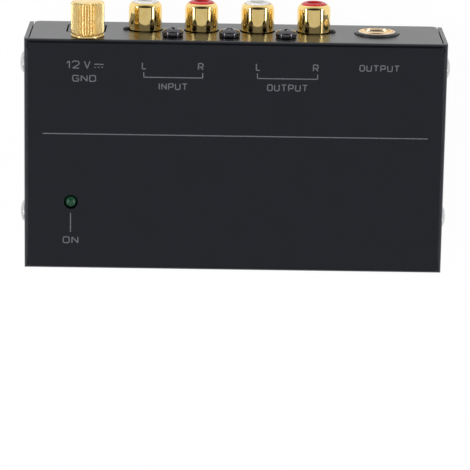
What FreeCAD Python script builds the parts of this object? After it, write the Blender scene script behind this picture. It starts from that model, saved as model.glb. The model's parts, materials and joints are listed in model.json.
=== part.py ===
import FreeCAD, Part

import math
import os

V = FreeCAD.Vector

# Phono preamp in a small folded steel case, in millimetres.
# +Z is up, +Y is the connector side, +X is the side of the large jack.
# The origin is on the surface it stands on, under the middle of the whole outline.

# Case: a five-sided lid folded from sheet, and a tray that closes it from below
case_w = 104.0
case_d = 58.0
case_h = 25.0
lid_sheet = 1.0
side_bend = 1.4
end_bend = 1.2
seam = 0.3
relief_depth = 2.0
relief_r = 0.45
panel_corner = 1.6
wall_corner = 1.0
tray_sheet = 1.0
tray_gap = 0.1
tray_bend = 1.5
flange_h = 8.5
flange_corner = 2.0
collar_r = 2.5
collar_h = 0.8
thread_gap = 0.05

# Rubber feet
foot_h = 2.0
foot_r = 4.5
foot_round = 0.9
foot_inset_x = 10.0
foot_inset_y = 9.0

# Screws: side screws hold the lid, block screws hold the phono sockets
screw_r = 1.5
screw_hole_gap = 0.15
side_head_r = 2.8
side_head_h = 2.3
side_shank = 4.4
side_screw_y = 19.3
side_screw_up = 4.5
side_screw_turns = (20, 55)
block_screw_turns = (12, 40, 75)
block_head_r = 2.65
block_head_h = 1.6
block_shank = 6.0
board_head_r = 2.6
board_head_h = 1.6
board_screw_clear = 0.3
recess_w = 0.75
recess_depth = 1.0

# Circuit board
board_side_gap = 5.5
board_front_gap = 3.5
board_t = 1.6
board_corner = 1.5
board_back_gap = 0.5
standoff_h = 2.4
standoff_r = 2.6
standoff_inset = 4.5
jack_to_screw = 1.0
pin_hole_r = 0.9
lead_hole_r = 0.45
lead_past_board = 0.9

# Phono sockets: one black block with four gold shells
socket_pitch = 14.0
socket_mid_x = -1.65
socket_rise = 4.8
socket_names = ("input_left", "input_right", "output_left", "output_right")
shell_r = 4.15
shell_wall = 0.95
shell_reach = 9.8
shell_inside = 7.0
shell_chamfer = 0.8
shell_seat_r = 3.8
shell_shoulder = 0.2
shell_leg_w = 1.5
shell_leg_t = 0.6
panel_hole_gap = 0.25
seat_gap = 0.05
insulator_proud = 0.4
insulator_round = 0.8
insulator_back_gap = 0.2
insulator_hole_r = 1.85
insulator_hole_edge = 0.3
insulator_lip = 1.5
contact_r = 2.3
contact_bore_r = 1.65
contact_length = 8.2
contact_slot = 0.4
contact_cap = 1.0
tail_w = 1.2
tail_t = 0.6
tail_inset = 0.4
block_d = 10.0
block_end = 6.9
block_over = 5.0
block_round = 0.8
boss_r = 2.9
boss_d = 6.5
boss_blind = 0.6
screw_rise = 8.3
peg_r = 0.9
peg_offset = 4.65
peg_sunk = 0.1

# Ground terminal
stud_x = -36.6
stud_drop = 5.3
stud_r = 2.0
stud_reach = 6.8
stud_inside = 6.5
stud_hole_gap = 0.2
nut_r = 4.1
nut_h = 8.2
nut_bore_depth = 7.2
nut_thread_gap = 0.05
nut_chamfer = 0.55
nut_foot = 0.5
flutes = 34
flute_depth = 0.32
flute_flat = 0.42
stud_chamfer = 0.35
washer_r = 4.5
washer_t = 0.5
washer_gap = 0.08
face_gap = 0.03
tag_t = 0.8
tag_r = 4.1
tag_leg_w = 2.2
tag_leg_x = -31.3
tag_top_gap = 0.3
hex_flat = 7.0
hex_h = 3.0

# Power inlet
dc_x = -37.3
dc_w = 9.0
dc_h = 8.9
dc_d = 14.0
dc_gap = 0.4
dc_rise = 4.6
dc_bore_r = 2.85
dc_bore_depth = 9.6
dc_front_d = 3.6
dc_neck = 0.5
dc_edge = 0.3
dc_pin_r = 1.05
dc_pin_back = 0.9
dc_pin_taper = 0.5
dc_pin_neck = 0.25
dc_leaf_w = 2.4
dc_leaf_t = 0.4
dc_leaf_l = 3.8
dc_leaf_clear = 0.3

# Large output jack
jack_x = 35.1
jack_w = 14.5
jack_d = 27.0
jack_h = 12.0
jack_rise = 6.0
jack_nose_r = 5.5
jack_nose_gap = 0.2
jack_proud = 0.6
jack_nose_edge = 0.35
jack_bore_r = 3.22
jack_bore_gap = 0.3
jack_back_wall = 1.5
jack_top_round = 1.0
bushing_r = 4.45
bushing_depth = 9.0
bushing_flare = 4.25
bushing_flare_depth = 1.1
bushing_back = 0.35
spring_w = 3.0
spring_t = 0.4
spring_window = 3.6
spring_rise = 1.5
spring_clear = 0.1
spring_inset = (4.0, 12.0)

# Power light
led_x = -40.4
led_from_middle = -11.9
led_r = 1.5
led_hole_r = 1.75
led_proud = 0.45
led_length = 5.3
led_flange_r = 1.9
led_flange_h = 1.0
led_lead = 0.5
led_lead_gap = 1.27
spacer_clear = 0.12

# Parts on the board
can_r = 4.0
can_h = 11.5
small_can_r = 2.5
small_can_h = 9.0
can_groove = 0.35
can_groove_w = 0.4
can_ease = 0.35
film_w = 7.2
film_d = 3.2
film_h = 7.5
film_round = 0.5
chip_w = 9.4
chip_d = 6.3
chip_h = 3.3
chip_lift = 0.6
chip_pin_pitch = 2.54
chip_row = 7.62
chip_pin_w = 0.6
chip_pin_t = 0.3
chip_taper = 0.3
chip_notch_r = 0.8
chip_notch_h = 0.6
choke_r = 3.2
choke_h = 6.5
choke_flange = 1.0
choke_waist = 0.5
regulator_r = 2.3
regulator_h = 4.8
regulator_lift = 3.0
regulator_leg_w = 0.44
regulator_pitch = 1.27
regulator_flat = 0.55
resistor_r = 1.15
resistor_l = 6.0
resistor_span = 9.0
resistor_lift = 0.2
resistor_waist = 0.2
resistor_lead_w = 0.5

# Where those parts stand: rows behind the rear panel, and places along them
back_row = 22.0
front_row = 32.0
can_first_x = -30.0
film_first_x = 0.0
row_pitch = 9.5
chip_first_x = 2.0
chip_pitch = 14.0
choke_x = -40.0
choke_from_rear = 23.0
regulator_x = -35.4
regulator_from_rear = 35.0
resistor_inset = 5.5
resistor_first_x = -30.0
resistor_pitch = 6.0
resistors = 10

# Levels and faces that follow from the sizes above
base_z = foot_h
top_z = base_z + case_h
tray_top = base_z + tray_sheet
board_z = tray_top + standoff_h
board_top = board_z + board_t
front_y = -(case_d + shell_reach + insulator_proud) / 2
rear_y = front_y + case_d
rear_in = rear_y - lid_sheet
middle_y = (front_y + rear_y) / 2
mouth_y = rear_y + shell_reach
crown_y = mouth_y + insulator_proud
socket_z = board_top + socket_rise
screw_z = socket_z + screw_rise
jack_z = board_top + jack_rise
dc_z = board_top + dc_rise
stud_z = top_z - stud_drop
led_y = middle_y + led_from_middle
board_y1 = rear_in - board_back_gap
board_y0 = front_y + lid_sheet + board_front_gap
board_half = case_w / 2 - board_side_gap
lead_end = board_z - lead_past_board
sockets = [socket_mid_x + (i - 1.5) * socket_pitch for i in range(4)]
block_screw_x = [(a + b) / 2 for a, b in zip(sockets, sockets[1:])]
block_back = rear_in - block_d
peg_x = (sockets[0] - peg_offset, sockets[-1] + peg_offset)
side_z = base_z + side_screw_up
side_ys = (middle_y - side_screw_y, middle_y + side_screw_y)
tray_w = case_w - 2 * (lid_sheet + tray_gap)
tray_y0 = front_y + lid_sheet + tray_gap
tray_y1 = rear_in - tray_gap
shell_bore_r = shell_r - shell_wall
insulator_r = shell_bore_r - seat_gap
standoff_spots = [
    (x, y)
    for x in (standoff_inset - board_half, board_half - standoff_inset)
    for y in (board_y0 + standoff_inset, rear_in - jack_d - jack_to_screw - board_head_r)
]


def box(x0, x1, y0, y1, z0, z1):
    return Part.makeBox(x1 - x0, y1 - y0, z1 - z0, V(x0, y0, z0))


def rod_x(y, z, r, x0, x1):
    return Part.makeCylinder(r, x1 - x0, V(x0, y, z), V(1, 0, 0))


def rod_y(x, z, r, y0, y1):
    return Part.makeCylinder(r, y1 - y0, V(x, y0, z), V(0, 1, 0))


def rod_z(x, y, r, z0, z1):
    return Part.makeCylinder(r, z1 - z0, V(x, y, z0), V(0, 0, 1))


def turned(profile, centre, axis):
    """A turned piece: profile holds (radius, distance along the axis) points."""
    outline = Part.makePolygon([V(r, 0, h) for r, h in profile + profile[:1]])
    body = Part.Face(outline).revolve(V(0, 0, 0), V(0, 0, 1), 360)
    body.Placement = FreeCAD.Placement(centre, FreeCAD.Rotation(V(0, 0, 1), axis))
    return Part.Solid(body) if body.ShapeType == "Shell" else body


def straight_edges(shape, along, test):
    """Straight edges that run along a direction and whose middle passes the test."""
    found = []
    for edge in shape.Edges:
        if not isinstance(edge.Curve, Part.Line):
            continue
        direction = edge.tangentAt(edge.FirstParameter)
        if abs(abs(direction.dot(along)) - 1) < 1e-6 and test(edge.CenterOfMass):
            found.append(edge)
    return found


def rounded(shape, radius, along, test=lambda middle: True):
    """The shape with a fillet on the chosen straight edges."""
    return shape.makeFillet(radius, straight_edges(shape, along, test))


def save(name, shapes):
    """Write one node as a STEP file: a single solid, or a group of separate solids."""
    solids = [s for shape in shapes for s in shape.Solids]
    shape = solids[0] if len(solids) == 1 else Part.makeCompound(solids)
    shape.exportStep("parts/" + name + ".step")


def arched(w, y0, y1, z0, z1, side_r, end_r):
    """A block whose top runs into its sides and ends through bends of two radii."""
    along_y = rounded(box(-w / 2, w / 2, y0, y1, z0, z1), side_r, V(0, 1, 0), lambda m: m.z > z1 - 0.01)
    along_x = rounded(box(-w / 2, w / 2, y0, y1, z0, z1), end_r, V(1, 0, 0), lambda m: m.z > z1 - 0.01)
    return along_y.common(along_x)


def pan_screw(head_r, head_h, shank_r, shank, cross=True):
    """A pan head screw that points down, with its head's seat at z = 0 and maybe a cross recess."""
    tip = 0.3 * shank_r
    profile = [
        (0, head_h),
        (0.62 * head_r, 0.9 * head_h),
        (0.9 * head_r, 0.65 * head_h),
        (head_r, 0.35 * head_h),
        (head_r, 0),
        (shank_r, 0),
        (shank_r, tip - shank),
        (shank_r - tip, -shank),
        (0, -shank),
    ]
    screw = turned(profile, V(0, 0, 0), V(0, 0, 1))
    arm = 0.6 * head_r
    for turn in (0, 90) if cross else ():
        slot = box(-arm, arm, -recess_w / 2, recess_w / 2, head_h - recess_depth, head_h + 1)
        slot.rotate(V(0, 0, 0), V(0, 0, 1), turn)
        screw = screw.cut(slot)
    return screw


def placed_screw(screw, at, outward, turn=0.0):
    """A copy of a screw with its seat at a point and its head facing outward."""
    copy = screw.copy()
    copy.rotate(V(0, 0, 0), V(0, 0, 1), turn)
    copy.Placement = FreeCAD.Placement(at, FreeCAD.Rotation(V(0, 0, 1), outward)).multiply(copy.Placement)
    return copy


def lid():
    outer = arched(case_w, front_y, rear_y, base_z, top_z, side_bend, end_bend)
    inner = arched(
        case_w - 2 * lid_sheet,
        front_y + lid_sheet,
        rear_in,
        base_z - 1,
        top_z - lid_sheet,
        max(side_bend - lid_sheet, 0.05),
        max(end_bend - lid_sheet, 0.05),
    )
    shell = outer.cut(inner)
    wall_in = case_w / 2 - lid_sheet
    for side in (-1, 1):
        slot_x = sorted((side * wall_in, side * (wall_in - seam)))
        relief_x = side * (wall_in - seam / 2)
        for end_y, inward in ((front_y, 1), (rear_y, -1)):
            deep = end_y + inward * relief_depth
            slot_y = sorted((end_y - inward, deep))
            shell = shell.cut(box(*slot_x, *slot_y, base_z - 1, top_z + 1))
            shell = shell.cut(rod_z(relief_x, deep, relief_r, top_z - lid_sheet - 1, top_z + 1))
    panel_edge = wall_in - seam
    shell = rounded(
        shell, panel_corner, V(0, 1, 0), lambda m: m.z < base_z + 0.01 and abs(abs(m.x) - panel_edge) < 0.01
    )
    shell = rounded(
        shell, wall_corner, V(1, 0, 0), lambda m: m.z < base_z + 0.01 and abs(m.x) > wall_in
    )
    for tool in rear_holes() + side_holes():
        shell = shell.cut(tool)
    return shell.cut(rod_z(led_x, led_y, led_hole_r, top_z - 2 * lid_sheet, top_z + 1))


def rear_holes():
    """What the rear panel is cut with: a clear hole for each connector and screw."""
    y0, y1 = rear_in - 0.5, rear_y + 0.5
    tools = [rod_y(x, socket_z, shell_r + panel_hole_gap, y0, y1) for x in sockets]
    tools += [rod_y(x, screw_z, screw_r + screw_hole_gap, y0, y1) for x in block_screw_x]
    tools += [rod_y(x, socket_z, peg_r + seat_gap, y0, y1) for x in peg_x]
    tools.append(rod_y(jack_x, jack_z, jack_nose_r + jack_nose_gap, y0, y1))
    tools.append(rod_y(stud_x, stud_z, stud_r + stud_hole_gap, y0, y1))
    half = dc_w / 2 + dc_gap
    window = box(dc_x - half, dc_x + half, y0, y1, board_top - dc_gap, board_top + dc_h + dc_gap)
    tools.append(rounded(window, dc_edge, V(0, 1, 0)))
    return tools


def side_holes():
    radius = screw_r + screw_hole_gap
    reach = case_w / 2 + 1
    return [rod_x(y, side_z, radius, x, x + reach) for y in side_ys for x in (-reach, 0)]


def tray():
    """The bottom plate, with a flange up each side that takes the side screws."""
    half = tray_w / 2
    outer = rounded(
        box(-half, half, tray_y0, tray_y1, base_z, base_z + flange_h),
        tray_bend,
        V(0, 1, 0),
        lambda m: m.z < base_z + 0.01,
    )
    wall = half - tray_sheet
    inner = rounded(
        box(-wall, wall, tray_y0 - 1, tray_y1 + 1, tray_top, base_z + flange_h + 1),
        max(tray_bend - tray_sheet, 0.05),
        V(0, 1, 0),
        lambda m: m.z < tray_top + 0.01,
    )
    plate = rounded(
        outer.cut(inner), flange_corner, V(1, 0, 0), lambda m: m.z > base_z + flange_h - 0.01
    )
    for y in side_ys:
        for side in (-1, 1):
            x0, x1 = sorted((side * (wall - collar_h), side * wall))
            plate = plate.fuse(rod_x(y, side_z, collar_r, x0, x1))
            x0, x1 = sorted((side * (wall - collar_h - 1), side * (half + 1)))
            plate = plate.cut(rod_x(y, side_z, screw_r + thread_gap, x0, x1))
    return plate.removeSplitter()


def side_screws():
    screw = pan_screw(side_head_r, side_head_h, screw_r, side_shank)
    return [
        placed_screw(screw, V(side * case_w / 2, y, side_z), V(side, 0, 0), turn)
        for side in (-1, 1)
        for y, turn in zip(side_ys, side_screw_turns)
    ]


def feet():
    x = case_w / 2 - foot_inset_x
    spots = [(side * x, y) for side in (-1, 1) for y in (front_y + foot_inset_y, rear_y - foot_inset_y)]
    sole = foot_r - foot_round
    profile = [(0, 0), (sole, 0), (foot_r, foot_round), (foot_r, foot_h), (0, foot_h)]
    return [turned(profile, V(x, y, 0), V(0, 0, 1)) for x, y in spots]


def board():
    """The circuit board, drilled for its screws and for the connectors' pins."""
    plate = box(-board_half, board_half, board_y0, board_y1, board_z, board_top)
    plate = rounded(plate, board_corner, V(0, 0, 1))
    for x, y in standoff_spots:
        plate = plate.cut(rod_z(x, y, screw_r + screw_hole_gap, board_z - 1, board_top + 1))
    for x, y, r in pin_holes():
        plate = plate.cut(rod_z(x, y, r, board_z - 1, board_top + 1))
    return plate


def pin_holes():
    """Where pins pass through the board: place and radius of each hole."""
    holes = [(x, contact_tail_y(), pin_hole_r) for x in sockets]
    holes += [(x, shell_leg_y(), pin_hole_r) for x in sockets]
    holes.append((dc_x, dc_pin_y(), pin_hole_r))
    holes += [(led_x + side * led_lead_gap / 2, led_y, lead_hole_r) for side in (-1, 1)]
    return holes


def standoffs():
    found = []
    for x, y in standoff_spots:
        post = rod_z(x, y, standoff_r, tray_top, board_z)
        found.append(post.cut(rod_z(x, y, screw_r + thread_gap, tray_top - 1, board_z + 1)))
    return found


def board_screws():
    shank = board_t + standoff_h - board_screw_clear
    screw = pan_screw(board_head_r, board_head_h, screw_r, shank, cross=False)
    return [placed_screw(screw, V(x, y, board_top), V(0, 0, 1)) for x, y in standoff_spots]


def contact_back():
    return mouth_y - insulator_lip - contact_length


def contact_tail_y():
    return block_back - tail_t / 2 - tail_inset


def shell_leg_y():
    return rear_in - shell_inside + shell_leg_t / 2


def socket_block():
    """The black moulding behind the rear panel that holds the four shells."""
    x0, x1 = sockets[0] - block_end, sockets[-1] + block_end
    body = rounded(
        box(x0, x1, block_back, rear_in, board_top, socket_z + block_over),
        block_round,
        V(0, 1, 0),
        lambda m: m.z > board_top + 0.01,
    )
    for x in block_screw_x:
        web = box(x - boss_r, x + boss_r, rear_in - boss_d, rear_in, socket_z, screw_z)
        body = body.fuse(web)
        body = body.fuse(rod_y(x, screw_z, boss_r, rear_in - boss_d, rear_in))
    for x in peg_x:
        body = body.fuse(rod_y(x, socket_z, peg_r, rear_in - 1, rear_y - peg_sunk))
    for x in block_screw_x:
        body = body.cut(rod_y(x, screw_z, screw_r + thread_gap, rear_in - boss_d + boss_blind, rear_in + 1))
    bore_back = rear_in - shell_inside - seat_gap
    leg_y = shell_leg_y()
    for x in sockets:
        body = body.cut(rod_y(x, socket_z, shell_seat_r + seat_gap, bore_back, rear_in + 1))
        body = body.cut(rod_y(x, socket_z, tail_w, block_back - 1, rear_in))
        half = shell_leg_w / 2 + seat_gap
        leg_half = shell_leg_t / 2 + seat_gap
        leg_slot = box(x - half, x + half, leg_y - leg_half, leg_y + leg_half, board_top - 1, socket_z)
        body = body.cut(leg_slot)
    return body.removeSplitter()


def phono_shell(x):
    """A gold shell: a tube with a bevelled mouth, and a leg that is soldered to the board."""
    back = rear_in - shell_inside
    length = mouth_y - back
    shoulder = rear_y + shell_shoulder - back
    profile = [
        (shell_bore_r, 0),
        (shell_seat_r, 0),
        (shell_seat_r, shoulder),
        (shell_r, shoulder),
        (shell_r, length - shell_chamfer),
        (shell_r - shell_chamfer * 0.75, length),
        (shell_bore_r, length),
    ]
    tube = turned(profile, V(x, back, socket_z), V(0, 1, 0))
    half = shell_leg_w / 2
    middle = shell_leg_y()
    leg = box(x - half, x + half, middle - shell_leg_t / 2, middle + shell_leg_t / 2, lead_end, socket_z)
    leg = leg.cut(rod_y(x, socket_z, (shell_seat_r + shell_bore_r) / 2, back - 1, rear_y))
    return tube.fuse(leg)


def phono_insulator(x):
    """The coloured insert: a sleeve with a crowned face and a hole for the plug's pin."""
    back = rear_in - shell_inside + shell_leg_t + insulator_back_gap
    crown = crown_y - back
    lip = mouth_y - insulator_lip - back
    counter_r = contact_r + seat_gap
    profile = [
        (counter_r, 0),
        (insulator_r, 0),
        (insulator_r, crown - insulator_round),
        (insulator_r - 0.3 * insulator_round, crown - 0.3 * insulator_round),
        (insulator_r - insulator_round, crown),
        (insulator_hole_r + insulator_hole_edge, crown),
        (insulator_hole_r, crown - insulator_hole_edge),
        (insulator_hole_r, lip),
        (counter_r, lip),
    ]
    return turned(profile, V(x, back, socket_z), V(0, 1, 0))


def phono_contact(x):
    """The centre contact: a slit tube that grips the plug's pin, with a tail down to the board."""
    back = contact_back()
    front = mouth_y - insulator_lip - seat_gap
    tube = rod_y(x, socket_z, contact_r, back, front)
    tube = tube.cut(rod_y(x, socket_z, contact_bore_r, back + contact_cap, front + 1))
    slit = contact_slot / 2
    tube = tube.cut(
        box(x - slit, x + slit, back + 2 * contact_cap, front + 1, socket_z, socket_z + 2 * contact_r)
    )
    half = tail_w / 2
    y0 = contact_tail_y() - tail_t / 2
    arm = box(x - half, x + half, y0, back + 0.5, socket_z - tail_t / 2, socket_z + tail_t / 2)
    drop = box(x - half, x + half, y0, y0 + tail_t, lead_end, socket_z + tail_t / 2)
    return tube.fuse(arm).fuse(drop).removeSplitter()


def block_screws():
    screw = pan_screw(block_head_r, block_head_h, screw_r, block_shank)
    return [
        placed_screw(screw, V(x, rear_y, screw_z), V(0, 1, 0), turn)
        for x, turn in zip(block_screw_x, block_screw_turns)
    ]


def ground_stud():
    """A threaded stud, with a square neck behind the panel that keeps it from turning."""
    stud = rod_y(stud_x, stud_z, stud_r, rear_in - tag_t - stud_inside, rear_y + stud_reach)
    tip = [e for e in stud.Edges if e.BoundBox.YMin > rear_y + stud_reach - 0.01]
    return stud.makeChamfer(stud_chamfer, tip)


def ground_washer():
    disc = rod_y(stud_x, stud_z, washer_r, rear_y + face_gap, rear_y + face_gap + washer_t)
    return disc.cut(rod_y(stud_x, stud_z, stud_r + washer_gap, rear_y - 1, rear_y + 2 * washer_t + 1))


def ground_nut():
    """The fluted thumb nut: a fluted bar turned to shape, and bored blind for the stud."""
    base = rear_y + 2 * face_gap + washer_t
    step = 2 * math.pi / flutes
    root = nut_r - flute_depth
    flat = step * flute_flat / 2
    ring = []
    for i in range(flutes):
        middle = i * step
        for radius, angle in ((nut_r, middle - flat), (nut_r, middle + flat), (root, middle + step / 2)):
            ring.append(V(radius * math.sin(angle), 0, radius * math.cos(angle)))
    bar = Part.Face(Part.makePolygon(ring + ring[:1])).extrude(V(0, nut_h, 0))
    bar.translate(V(stud_x, base, stud_z))
    profile = [
        (0, 0),
        (nut_r - nut_foot, 0),
        (nut_r + 0.1, nut_foot),
        (nut_r + 0.1, nut_h - nut_chamfer),
        (nut_r - nut_chamfer, nut_h),
        (0, nut_h),
    ]
    nut = bar.common(turned(profile, V(stud_x, base, stud_z), V(0, 1, 0)))
    return nut.cut(rod_y(stud_x, stud_z, stud_r + nut_thread_gap, base - 1, base + nut_bore_depth))


def ground_tag():
    """The solder tag: a ring under the stud's nut, and a leg down to the board."""
    y0, y1 = rear_in - tag_t, rear_in
    ring = rod_y(stud_x, stud_z, tag_r, y0, y1)
    ring = ring.common(box(stud_x - 9, stud_x + 9, y0, y1, stud_z - tag_r, top_z - lid_sheet - tag_top_gap))
    half = tag_leg_w / 2
    arm = box(stud_x, tag_leg_x + half, y0, y1, stud_z - tag_leg_w, stud_z)
    leg = box(tag_leg_x - half, tag_leg_x + half, y0, y1, board_top, stud_z)
    tag = ring.fuse(arm).fuse(leg)
    return tag.cut(rod_y(stud_x, stud_z, stud_r + seat_gap, y0 - 1, y1 + 1)).removeSplitter()


def stud_nut():
    """The hexagon nut that clamps the stud and its tag from inside."""
    corner = hex_flat / math.sqrt(3)
    points = [
        V(corner * math.cos(math.radians(60 * i)), 0, corner * math.sin(math.radians(60 * i)))
        for i in range(6)
    ]
    bar = Part.Face(Part.makePolygon(points + points[:1])).extrude(V(0, hex_h, 0))
    y0 = rear_in - tag_t - hex_h
    bar.translate(V(stud_x, y0, stud_z))
    return bar.cut(rod_y(stud_x, stud_z, stud_r + thread_gap, y0 - 1, y0 + hex_h + 1))


def dc_body():
    """The power inlet's moulding: a square front, a narrower rear and a round mouth."""
    half = dc_w / 2
    face_y = rear_y
    front = rounded(
        box(dc_x - half, dc_x + half, face_y - dc_front_d, face_y, board_top, board_top + dc_h),
        dc_edge,
        V(0, 1, 0),
        lambda m: m.z > board_top + 0.01,
    )
    narrow = half - dc_neck
    rear = rounded(
        box(
            dc_x - narrow,
            dc_x + narrow,
            face_y - dc_d,
            face_y - dc_front_d,
            board_top,
            board_top + dc_h - dc_neck,
        ),
        narrow * 0.6,
        V(0, 1, 0),
        lambda m: m.z > board_top + 0.01,
    )
    body = front.fuse(rear).cut(rod_y(dc_x, dc_z, dc_bore_r, face_y - dc_bore_depth, face_y + 1))
    neck_r = dc_pin_r - dc_pin_neck
    body = body.cut(rod_y(dc_x, dc_z, neck_r + seat_gap, face_y - dc_d - 1, face_y))
    slot = dc_leaf_w / 2 + seat_gap
    leaf_y = face_y - dc_bore_depth
    slot_end = leaf_y + dc_leaf_l + 2 * seat_gap
    body = body.cut(box(dc_x - slot, dc_x + slot, leaf_y, slot_end, board_top - 1, dc_z - dc_bore_r + 0.5))
    return body.removeSplitter()


def dc_pin_y():
    return rear_y - dc_d - tail_t / 2


def dc_pin():
    """The inlet's centre pin, with a tail behind the moulding."""
    tip = rear_y - dc_pin_back
    pin = rod_y(dc_x, dc_z, dc_pin_r, rear_y - dc_bore_depth + face_gap, tip)
    pin = pin.makeChamfer(dc_pin_taper, [e for e in pin.Edges if e.BoundBox.YMin > tip - 0.01])
    pin = pin.fuse(rod_y(dc_x, dc_z, dc_pin_r - dc_pin_neck, rear_y - dc_d, rear_y - dc_bore_depth + 1))
    half = tail_w / 2
    y1 = rear_y - dc_d
    tail = box(dc_x - half, dc_x + half, y1 - tail_t, y1, lead_end, dc_z + dc_pin_r)
    return pin.fuse(tail).removeSplitter()


def dc_leaf():
    """The inlet's sleeve contact, a leaf in a slot under the mouth."""
    half = dc_leaf_w / 2
    y0 = rear_y - dc_bore_depth + seat_gap
    z1 = dc_z - dc_bore_r + dc_leaf_clear
    return box(dc_x - half, dc_x + half, y0, y0 + dc_leaf_l, z1 - dc_leaf_t, z1)


def jack_body():
    """The large jack's moulding, with a round nose through the panel."""
    half = jack_w / 2
    back = rear_in - jack_d
    face = rear_y + jack_proud
    body = rounded(
        box(jack_x - half, jack_x + half, back, rear_in, board_top, board_top + jack_h),
        jack_top_round,
        V(0, 1, 0),
        lambda m: m.z > board_top + 0.01,
    )
    nose = rod_y(jack_x, jack_z, jack_nose_r, rear_in - 1, face)
    rim = [e for e in nose.Edges if e.BoundBox.YMin > face - 0.01]
    body = body.fuse(nose.makeChamfer(jack_nose_edge, rim))
    body = body.cut(rod_y(jack_x, jack_z, bushing_r + seat_gap, bushing_y0() - seat_gap, face + 1))
    body = body.cut(rod_y(jack_x, jack_z, jack_bore_r + jack_bore_gap, back + jack_back_wall, face))
    window = spring_window / 2
    rise = spring_rise + 0.5
    for y in spring_places():
        body = body.cut(
            box(jack_x - half - 1, jack_x, y - window, y + window, jack_z - rise, jack_z + rise)
        )
    return body.removeSplitter()


def bushing_y0():
    return rear_y + jack_proud - bushing_back - bushing_depth


def spring_places():
    return [rear_in - jack_d + inset for inset in spring_inset]


def jack_bushing():
    """The jack's gold sleeve, flared at its mouth."""
    profile = [
        (jack_bore_r, 0),
        (bushing_r, 0),
        (bushing_r, bushing_depth),
        (bushing_flare, bushing_depth),
        (jack_bore_r, bushing_depth - bushing_flare_depth),
    ]
    return turned(profile, V(jack_x, bushing_y0(), jack_z), V(0, 1, 0))


def jack_spring(y):
    """A contact spring: a leaf bowed towards the plug, with a tail on the moulding's side."""
    half = spring_w / 2
    outside = jack_x - jack_w / 2
    bow_x = jack_x - jack_bore_r - spring_clear
    outline = [
        V(outside - spring_t, 0, jack_z - spring_rise),
        V(bow_x - spring_t, 0, jack_z),
        V(outside - spring_t, 0, jack_z + spring_rise),
        V(outside, 0, jack_z + spring_rise),
        V(bow_x, 0, jack_z),
        V(outside, 0, jack_z - spring_rise),
    ]
    leaf = Part.Face(Part.makePolygon(outline + outline[:1])).extrude(V(0, spring_w, 0))
    leaf.translate(V(0, y - half, 0))
    tail = box(outside - spring_t, outside, y - half, y + half, board_top, jack_z - spring_rise + 0.1)
    return leaf.fuse(tail).removeSplitter()


def led_lens():
    """The light's moulded lens: a flange, a barrel and a dome."""
    crown = top_z + led_proud
    foot = crown - led_length
    barrel = rod_z(led_x, led_y, led_r, foot, crown - led_r)
    dome = Part.makeSphere(led_r, V(led_x, led_y, crown - led_r))
    flange = rod_z(led_x, led_y, led_flange_r, foot, foot + led_flange_h)
    return barrel.fuse(dome).fuse(flange).removeSplitter()


def led_foot():
    return top_z + led_proud - led_length


def led_leads():
    half = led_lead / 2
    found = []
    for side in (-1, 1):
        x = led_x + side * led_lead_gap / 2
        found.append(box(x - half, x + half, led_y - half, led_y + half, lead_end, led_foot()))
    return found


def led_spacer():
    """The black sleeve that holds the light up under its hole."""
    sleeve = rod_z(led_x, led_y, led_flange_r, board_top, led_foot())
    half = led_lead / 2 + spacer_clear
    wide = led_lead_gap / 2 + half
    return sleeve.cut(
        box(led_x - wide, led_x + wide, led_y - half, led_y + half, board_top - 1, led_foot() + 1)
    )


def capacitor_can(x, y, r, h):
    """An electrolytic capacitor: a can with a rolled groove and an eased rim."""
    groove = 0.35 * r
    profile = [
        (0, 0),
        (r, 0),
        (r, groove),
        (r - can_groove, groove + can_groove),
        (r - can_groove, groove + can_groove + can_groove_w),
        (r, groove + 2 * can_groove + can_groove_w),
        (r, h - can_ease),
        (r - can_ease, h),
        (0, h),
    ]
    return turned(profile, V(x, y, board_top), V(0, 0, 1))


def film_capacitor(x, y):
    body = box(
        x - film_w / 2, x + film_w / 2, y - film_d / 2, y + film_d / 2, board_top, board_top + film_h
    )
    return rounded(body, film_round, V(0, 0, 1))


def amplifier_chip(x, y):
    """A dual in-line amplifier: a tapered body with four pins each side."""
    x0 = x - chip_w / 2
    low = board_top + chip_lift
    wide = chip_d / 2
    section = [
        V(x0, y - wide, low),
        V(x0, y + wide, low),
        V(x0, y + wide - chip_taper, low + chip_h),
        V(x0, y - wide + chip_taper, low + chip_h),
    ]
    body = Part.Face(Part.makePolygon(section + section[:1])).extrude(V(chip_w, 0, 0))
    body = body.cut(rod_z(x0, y, chip_notch_r, low + chip_h - chip_notch_h, low + chip_h + 1))
    shoulder = low + chip_h / 2
    half = chip_pin_w / 2
    for i in range(4):
        px = x + (i - 1.5) * chip_pin_pitch
        for side in (-1, 1):
            y_out = y + side * chip_row / 2
            y0, y1 = sorted((y, y_out))
            body = body.fuse(box(px - half, px + half, y0, y1, shoulder, shoulder + chip_pin_t))
            y0, y1 = sorted((y_out - side * chip_pin_t, y_out))
            body = body.fuse(box(px - half, px + half, y0, y1, board_top, shoulder + chip_pin_t))
    return body.removeSplitter()


def choke(x, y):
    """A drum choke: two flanges on a wound waist."""
    waist = choke_r - choke_waist
    profile = [
        (0, 0),
        (choke_r, 0),
        (choke_r, choke_flange),
        (waist, choke_flange),
        (waist, choke_h - choke_flange),
        (choke_r, choke_h - choke_flange),
        (choke_r, choke_h),
        (0, choke_h),
    ]
    return turned(profile, V(x, y, board_top), V(0, 0, 1))


def regulator(x, y):
    """A small regulator: a round-backed body on three legs."""
    z0 = board_top + regulator_lift
    z1 = z0 + regulator_h
    r = regulator_r
    body = rod_z(x, y, r, z0, z1)
    body = body.cut(box(x - 2 * r, x + 2 * r, y - 2 * r, y - r * regulator_flat, z0 - 1, z1 + 1))
    half = regulator_leg_w / 2
    for i in (-1, 0, 1):
        px = x + i * regulator_pitch
        body = body.fuse(box(px - half, px + half, y - half, y + half, board_top, z0))
    return body.removeSplitter()


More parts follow.
